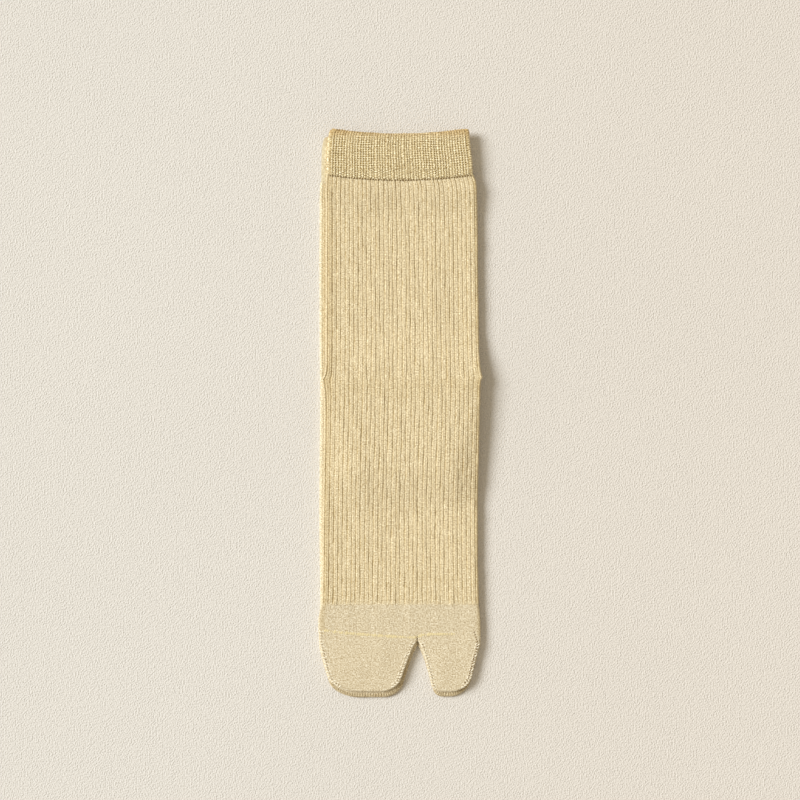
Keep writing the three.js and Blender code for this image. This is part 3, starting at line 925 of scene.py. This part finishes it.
class SOCKS_OT_cuffs(ForEachSock, bpy.types.Operator):
    """Knit the turned welts of both socks in a fine rib"""

    bl_idname = "socks.cuffs"
    bl_label = "Cuffs"

    def make(self, layer):
        s = layer.sizes
        fine = s.cuff_ribs * (8 if layer.upper else 4)
        columns = tube_columns(s.cuff_ribs, fine, 100, 12, FOLD_RIBS, 0.0)
        top, bottom = CUFF_ROWS[0].y, CUFF_ROWS[-1].y - 0.2
        rim = np.array([0.0, 0.12, 0.3, 0.55, 0.9])
        ys = np.concatenate([top - rim, np.linspace(top - 1.2, bottom + 0.5, 130), [bottom + 0.25, bottom]])
        rounding = 0.5 * (1 - np.sqrt(np.clip(1 - (1 - np.clip((top - ys) / 0.9, 0, 1)) ** 2, 0, 1)))
        tuck = 0.38 * smooth((bottom + 0.9 - ys) / 0.9)
        inner_ys = np.concatenate([[top, top - 0.4], np.linspace(top - 2, bottom, 10)])
        # The mouth of the upper cuff stands a little open, so its upper face rises by twice this.
        opening, inner_opening = (
            (0.275 if layer.upper else 0.0) * smooth((rows - 116) / 16.0) for rows in (ys, inner_ys)
        )
        half = layer.welt_half + opening - rounding - tuck

        def share(phase, shown, top_face, y):  # takes what the tube's does
            every_other = np.pi * np.floor(phase) * (y < WELT_STAGGER)
            stray = ROW_STRAY.reach * np.sin(np.floor(phase) * ROW_STRAY.rate)
            courses = 0.62 + 0.38 * np.cos(np.pi * y / s.course + every_other - stray)
            from_fold = np.minimum(phase, 2 * (s.cuff_ribs + FOLD_RIBS) - phase)
            at_fold = 0.0 if layer.upper else 0.95 * np.exp(-from_fold / 4.0)
            near_mouth = 1 - 0.2 * smooth((y - 131.0) / 4.5)
            vary = 1.0 + 0.15 * np.sin(phase * 1.9 + y / 7.0)
            return shown * courses * vary * (1 - at_fold) * near_mouth

        outer = Lines(ys, half, opening[:, None])
        inner = Lines(inner_ys, layer.welt_half + inner_opening, inner_opening[:, None])
        name = f"{layer.name}_welt"
        made = tube_shell(
            layer, name, CUFF_ROWS, columns, outer, inner, s.welt_wall, WALES_A_WELT_RIB, share
        )
        settings = bpy.context.scene.socks.sizes
        made = run_group(made, rib_group(), {
            "Height": settings.cuff_rib_height, "Groove": WELT_GROOVE, "Wale dip": 0.0,
            "Material": finish_of("welt cotton"),
        })
        declare(made, layer, ["cuff"])


def pocket_sides(pocket, ys):
    """The left and right sides of a toe pocket at ys."""
    length = CLEFT_TOP - TIP_Y
    from_tip = ys - TIP_Y

    def comes_in(side):
        along = np.clip(1 - from_tip / length, 0, 1)
        in_corner = np.clip(1 - from_tip / side.long, 0, 1)
        return side.taper * along**side.bow + side.wide * (1 - np.sqrt(1 - in_corner**2))

    return pocket.left.root + comes_in(pocket.left), pocket.right.root - comes_in(pocket.right)


def pocket_outline(pocket):
    """A toe pocket's outline as points from its left root round the tip to its right root."""
    length = TOES_START - TIP_Y
    ys = TIP_Y + length * (1 - np.sin(np.linspace(0, np.pi / 2, 90)))
    left, right = pocket_sides(pocket, ys)
    tip = np.linspace(left[-1], right[-1], 24)[1:-1]
    x = np.concatenate([left, tip, right[::-1]])
    y = np.concatenate([ys, np.full(len(tip), TIP_Y), ys[::-1]])
    return x, y


def nearest_on(outline, x, y):
    """The distance from each point to an outline, and how far along the outline that is."""
    px, py = outline
    ax, ay, bx, by = px[:-1], py[:-1], px[1:], py[1:]
    dx, dy = bx - ax, by - ay
    lengths = np.hypot(dx, dy)
    starts = np.concatenate([[0], np.cumsum(lengths)[:-1]])
    away = np.full(x.size, np.inf)
    along = np.zeros(x.size)
    flat_x, flat_y = x.ravel(), y.ravel()
    for k in range(len(ax)):
        squared = max(lengths[k] ** 2, 1e-12)
        t = np.clip(((flat_x - ax[k]) * dx[k] + (flat_y - ay[k]) * dy[k]) / squared, 0, 1)
        here = np.hypot(flat_x - ax[k] - t * dx[k], flat_y - ay[k] - t * dy[k])
        closer = here < away
        away[closer] = here[closer]
        along[closer] = (starts[k] + t * lengths[k])[closer]
    return away.reshape(x.shape), along.reshape(x.shape)


class SOCKS_OT_toes(ForEachSock, bpy.types.Operator):
    """Knit the four-toe and big-toe pockets of both socks"""

    bl_idname = "socks.toes"
    bl_label = "Toe pockets"

    def make(self, layer):
        for name, pocket in TOES.items():
            right = pocket.right
            if not layer.upper:
                right = right._replace(taper=right.taper + LOWER_SLIMMER[name])
            self.knit(layer, name, pocket._replace(right=right))

    def knit(self, layer, name, pocket):
        s = layer.sizes
        outline = pocket_outline(pocket)
        length = TOES_START - TIP_Y
        ys = TIP_Y + length * (1 - np.sin(np.linspace(0, np.pi / 2, 80)) ** 0.9)
        left, right = pocket_sides(pocket, ys)
        steps = np.linspace(0, 1, int((right[0] - left[0]) / 0.45))
        steps = mix(steps, 0.5 - 0.5 * np.cos(np.pi * steps), 0.55)
        x = mix(left[:, None], right[:, None], steps[None, :])
        y = np.broadcast_to(ys[:, None], x.shape)
        away, around = nearest_on(outline, x, y)
        away[:, 0] = away[:, -1] = away[-1, :] = 0.0
        reach = layer.knit_half * (0.85 if layer.upper else 1.25)
        rise = np.sqrt(np.clip(1 - (1 - np.clip(away / reach, 0, 1)) ** 2, 0, 1))
        pleats = (0.12 if layer.upper else 0.42) * np.sin(2 * np.pi * around / 1.5)
        pleats = pleats * smooth(1 - (away - 1.4) / 1.6) * smooth(away / 0.5)
        pleats = pleats * smooth((TOES_START - 4 - y) / 12.0)
        # Painted shade on the rims, most of all on the lower sock's rim, which shows beyond the upper toes
        # in the upper sock's shadow.
        rim = (0.03 if layer.upper else 0.46) * smooth(1 - (away - 1.0) / 2.6)
        rim = rim * smooth((TOES_START - 3 - y) / 14.0)
        half = (layer.knit_half - 0.14 * smooth(1 - (TOES_START - y) / 1.0)) * rise
        mid = layer.mid(x, y)
        top = mid + half + (layer.relief(x, y) + pleats) * smooth(away / 3.0 + 0.15) * rise
        bottom = mid - half
        upper_points = layer.to_frame(x, y, top).reshape(-1, 3)
        under_points = layer.to_frame(x, y, bottom).reshape(-1, 3)
        rows, columns = x.shape
        face_up, at = band(0, rows, columns, False)
        face_down, at_down = band(rows * columns, rows, columns, False, outwards=False)

        def coordinates(places):
            j, i = places[..., 0], places[..., 1]
            return np.stack([x[j, i] / WALE, -y[j, i] / s.course], -1)

        made = make_mesh(
            f"{layer.name}_{name}_knit", np.concatenate([upper_points, under_points]),
            np.concatenate([face_up, face_down]), np.concatenate([coordinates(at), coordinates(at_down)]),
            {"rim": np.tile(rim.ravel(), 2)},
        )
        weld = made.modifiers.new("Weld", "WELD")
        weld.merge_threshold = 2e-6
        wall = made.modifiers.new("Wall", "SOLIDIFY")
        wall.thickness = s.wall * MM * 0.92
        wall.offset = -1.0
        made = as_plain_mesh(made)
        made.data.materials.append(finish_of("plain cotton"))
        declare(made, layer, [name])


class SOCKS_OT_heels(ForEachSock, bpy.types.Operator):
    """Lay the folded heel pockets between the socks"""

    bl_idname = "socks.heels"
    bl_label = "Heels"

    def make(self, layer):
        s = layer.sizes
        slope = math.atan2(HEEL.top_half - HEEL.tip_half, HEEL.depth)
        reach = HEEL.corner * math.tan((math.pi / 2 - slope) / 2)
        angles = -math.pi / 2 + np.linspace(0, 1, 16) * (math.pi / 2 - slope)
        corner_x = HEEL.tip_half - reach + HEEL.corner * np.cos(angles)
        corner_y = -HEEL.depth + HEEL.corner * (1 + np.sin(angles))
        side = np.linspace(0, 1, 24)[1:]
        right_x = np.concatenate([corner_x, mix(corner_x[-1], HEEL.top_half - 0.4, side)])
        right_y = np.concatenate([corner_y, mix(corner_y[-1], -0.4, side)])
        x = np.concatenate([right_x, -right_x[::-1]])
        y = np.concatenate([right_y, right_y[::-1]])
        bottom = 2 * layer.knit_half + s.layer_gap
        bottom += s.heel_thickness + s.layer_gap if layer.upper else 0.0
        middle = bottom + s.heel_thickness / 2
        # Two round edges, one on the other, then the flat faces.
        quarter = s.heel_thickness / 4
        rims = [(9.0, 1.0), (2.6, 1.0)]
        turns = np.linspace(0.25, 2.9, 7)
        rims += [(quarter * (1 - math.sin(a)) * 1.6, 0.5 + 0.5 * math.cos(a)) for a in turns]
        rims += [(i, -u) for i, u in reversed(rims)]
        rings = []
        for inset, up in rims:
            size = 1 - inset / HEEL_REACH
            height = np.full(x.shape, middle + up * s.heel_thickness / 2)
            rings.append(layer.to_frame(x * size, mix(HEEL_CENTRE, y, size), height))
        count = len(x)
        points = np.concatenate(rings)
        sides, at = band(0, len(rims), count, True)
        # Each lid is strips from side to side between the outline's two mirrored halves.
        i = np.arange(count // 2 - 1)
        lid = np.stack([i, count - 1 - i, count - 2 - i, i + 1], axis=1)
        last = (len(rims) - 1) * count
        quads = np.concatenate([sides, lid[:, ::-1], lid + last])
        flat_x, flat_y = np.append(x, x[0]), np.append(y, y[0])
        side_v = -flat_y[at[..., 1]] / s.course + at[..., 0] * 0.4
        side_uvs = np.stack([flat_x[at[..., 1]] / WALE, side_v], -1)
        lid_uvs = np.stack([x[lid] / WALE, -y[lid] / s.course], -1)
        uvs = np.concatenate([side_uvs, lid_uvs[:, ::-1], lid_uvs])
        made = make_mesh(f"{layer.name}_heel_fold", points, quads, uvs)
        made.data.materials.append(finish_of("plain cotton"))
        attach(made, "root")
        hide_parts(f"{layer.name}_heel")


# ---- Seams ----

# The linking seam over the toes of the upper sock, from the little toe to the big toe.
SEAM_ROUTE = [
    (-43.5, -141.4), (-34.0, -142.6), (-23.8, -143.4), (-10.0, -144.4), (0.0, -145.0), (5.3, -145.2),
    (8.0, -144.8), (10.5, -143.9), (15.4, -143.4), (28.5, -143.3),
]

# Kinds of stitches: their spacing and size in millimetres, how uneven they are, and their lift.
Stitch = namedtuple("Stitch", "yarn spacing length width height unevenness lift")
CHAIN = Stitch("seam yarn", 1.3, 1.5, 1.5, 0.24, 0.8, -0.02)
FASHIONING = Stitch("pale yarn", 1.6, 1.7, 0.6, 0.72, 0.7, -0.06)
INNER_FASHIONING = Stitch("pale yarn", 2.0, 1.4, 0.55, 0.6, 0.8, -0.05)
# Needle marks and the welt's holes are dark beads; on the welt they are painted shade in the holes.
NEEDLE_MARK = Stitch("deep yarn", 1.6, 0.85, 0.42, 0.34, 0.6, 0.03)
SIDE_NEEDLE_MARK = Stitch("deep yarn", 1.35, 1.15, 0.6, 0.28, 0.3, 0.01)
WELT_HOLE = Stitch("deep yarn", 1.50, 0.95, 0.95, 0.5, 0.2, 0.44)
WELT_STITCH = Stitch("seam yarn", 1.50, 1.1, 0.42, 0.5, 0.3, 0.40)

# The fashioned sides of the toe pockets: where that starts, how far inside the edge, and its slant.
Fashioned = namedtuple("Fashioned", "name toe side start inset slant")
FASHIONED = [
    Fashioned("little_toe", "four_toe_pocket", -1, -142.0, 1.1, 50),
    Fashioned("four_toe_cleft", "four_toe_pocket", 1, -149.0, 1.0, -50),
    Fashioned("big_toe_cleft", "big_toe_pocket", -1, -149.0, 1.0, 50),
    Fashioned("big_toe_side", "big_toe_pocket", 1, -149.5, 0.7, -50),
]
# The rows of stitches along each: how much lower they start, where they end, how much further inside they
# are, the share of the slant, and the stitch.
MarkRow = namedtuple("MarkRow", "name lower end further turned stitch")
MARK_ROWS = [
    MarkRow("fashioning", 0.0, -173.5, 0.0, 1.0, FASHIONING),
    MarkRow("inner_fashioning", 0.0, -172.5, 1.4, 0.6, INNER_FASHIONING),
    MarkRow("needle_marks", 0.7, -173.0, 0.5, 1.0, NEEDLE_MARK),
]


def path_on(layer, name, xs, ys, lift):
    """A path on the upper face of a sock, as a curve."""
    z = layer.top(xs, ys) + lift
    places = layer.to_frame(xs, ys, z)
    data = bpy.data.curves.new(name, "CURVE")
    data.dimensions = "3D"
    spline = data.splines.new("POLY")
    spline.points.add(len(places) - 1)
    spline.points.foreach_set("co", np.concatenate([places, np.ones((len(places), 1))], axis=1).ravel())
    made = bpy.data.objects.new(name, data)
    bpy.context.scene.collection.objects.link(made)
    return made


def sewn(layer, name, path, stitch, slant):
    """A row of stitches along a path, with its slant in degrees."""
    curve = path_on(layer, name, *path, stitch.lift)
    made = run_group(curve, stitch_group(), {
        "Spacing": stitch.spacing * MM, "Length": stitch.length * MM, "Width": stitch.width * MM,
        "Height": stitch.height * MM, "Slant": math.radians(slant), "Unevenness": stitch.unevenness,
        "Material": finish_of(stitch.yarn),
    })
    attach(made, "root")


def inset_path(pocket, side, start, end, inset):
    """A path just inside one side of a toe pocket, from y start to y end."""
    ys = np.linspace(start, end, 60)
    left, right = pocket_sides(pocket, ys)
    x = left if side < 0 else right
    dx, dy = np.gradient(x), np.gradient(ys)
    length = np.hypot(dx, dy)
    return x + side * dy / length * inset, ys - side * dx / length * inset


class SOCKS_OT_seams(bpy.types.Operator):
    """Sew the linking seam over the toes and the fashioning marks beside the toe pockets"""

    bl_idname = "socks.seams"
    bl_label = "Seams"

    def execute(self, context):
        layer = Layer("right_sock")
        knots = np.array(SEAM_ROUTE)
        xs = np.linspace(knots[0, 0], knots[-1, 0], 200)
        ys = curve_through(knots[:, 0], knots[:, 1], xs)
        sewn(layer, "toe_seam_chain", (xs, ys), CHAIN, 35)
        for place in FASHIONED:
            for row in MARK_ROWS:
                start, inset = place.start - row.lower, place.inset + row.further
                path = inset_path(TOES[place.toe], place.side, start, row.end, inset)
                sewn(layer, f"{place.name}_{row.name}", path, row.stitch, place.slant * row.turned)
        from_edge = np.interp(np.linspace(0, 1, 60), (0, 0.15, 0.3, 0.6, 1), (3.6, 2.3, 1.0, 1.5, 1.9))
        path = inset_path(TOES["big_toe_pocket"], 1, -142.3, -171.5, from_edge)
        sewn(layer, "big_toe_needle_marks", path, SIDE_NEEDLE_MARK, -50)
        self.link_welt(layer)
        return {"FINISHED"}

    def link_welt(self, layer):
        """The row of needle holes where the welt is linked to the leg, with a stitch between each two."""
        xs = np.linspace(-40.8, 37.6, 400)
        ys = 112.9 - 2.8 * (1 - ((xs + 1.7) / 40.8) ** 2)
        # The holes are dark beads, painted shade.
        sewn(layer, "welt_holes", (xs, ys), WELT_HOLE, 30)
        sewn(layer, "welt_stitches", (xs + 0.75, ys), WELT_STITCH, 65)


# ---- Stage ----


class SOCKS_OT_stage(bpy.types.Operator):
    """Set the floor, the lights and the camera"""

    bl_idname = "socks.stage"
    bl_label = "Stage"

    def execute(self, context):
        scene = context.scene
        scene.view_settings.view_transform = "Standard"
        self.floor(scene)
        self.lights(scene)
        self.camera(scene)
        return {"FINISHED"}

    def floor(self, scene):
        half = 4.0
        corners = [(-half, -half, 0), (half, -half, 0), (half, half, 0), (-half, half, 0)]
        mesh = bpy.data.meshes.new("floor")
        mesh.from_pydata(corners, [], [(0, 1, 2, 3)])
        made = bpy.data.objects.new("floor", mesh)
        scene.collection.objects.link(made)
        paper, graph = material("paper")
        place = graph.place()
        fine = graph.noise(place, 1150.0, 2.0)
        soft = graph.noise(place, 6.0, 1.0)
        shade = 1.0 + (fine - 0.5) * 0.27 + (soft - 0.5) * 0.03
        # Painted light falloff: the floor grows a little darker and warmer towards the right, away from the
        # light.
        painted_falloff = graph.ramp(graph.node("ShaderNodeSeparateXYZ", {}, {0: place}), -0.2, 0.2)
        toned = graph.blend(painted_falloff, dyed("floor"), FLOOR_PAINTED_FALLOFF)
        base = graph.blend(1.0, toned, grey(graph, shade), "MULTIPLY")
        finish_material(graph, base, fine, 0.0008, 0.9, 0.0)
        mesh.materials.append(paper)

    def lights(self, scene):
        world = bpy.data.worlds.new("studio")
        scene.world = world
        world.use_nodes = True
        background = world.node_tree.nodes["Background"]
        background.inputs["Color"].default_value = (1.0, 0.87, 0.66, 1.0)
        background.inputs["Strength"].default_value = 0.455
        self.sun(scene, "key", (-1.0, 0.34, 0.87), 3.00, 28.0, (0.985, 1.0, 1.0))

    def sun(self, scene, name, towards, strength, spread, tint):
        light = bpy.data.lights.new(name, "SUN")
        light.energy = strength
        light.angle = math.radians(spread)
        light.color = tint
        made = bpy.data.objects.new(name, light)
        x, y, z = towards
        made.rotation_euler = (0.0, math.atan2(math.hypot(x, y), z), math.atan2(y, x))
        scene.collection.objects.link(made)

    def camera(self, scene):
        data = bpy.data.cameras.new("camera")
        data.lens, data.sensor_width = 85.0, 36.0
        data.clip_start, data.clip_end = 0.05, 20.0
        made = bpy.data.objects.new("camera", data)
        seen_width = 0.448  # the breadth of floor in view
        made.location = (0.0004, 0.0072, seen_width * data.lens / data.sensor_width + 0.003)
        scene.collection.objects.link(made)
        scene.camera = made


class SOCKS_PT_panel(bpy.types.Panel):
    """The steps that make the pair"""

    bl_idname = "SOCKS_PT_panel"
    bl_label = "Split-toe socks"
    bl_space_type = "VIEW_3D"
    bl_region_type = "UI"
    bl_category = "Socks"

    def draw(self, context):
        column = self.layout.column()
        for step in STEPS:
            column.operator(step.bl_idname)
        for group in (context.scene.socks.sizes, context.scene.socks.colours):
            for name in group.__annotations__:
                column.prop(group, name)


STEPS = (SOCKS_OT_tubes, SOCKS_OT_cuffs, SOCKS_OT_toes, SOCKS_OT_heels, SOCKS_OT_seams, SOCKS_OT_stage)
CLASSES = (KnitSizes, YarnColours, SockSettings, *STEPS, SOCKS_PT_panel)


def register():
    for cls in CLASSES:
        bpy.utils.register_class(cls)
    bpy.types.Scene.socks = bpy.props.PointerProperty(type=SockSettings)


def unregister():
    del bpy.types.Scene.socks
    for cls in reversed(CLASSES):
        bpy.utils.unregister_class(cls)


def main():
    register()
    for step in STEPS:
        group, name = step.bl_idname.split(".")
        getattr(getattr(bpy.ops, group), name)()


if __name__ == "__main__":
    main()
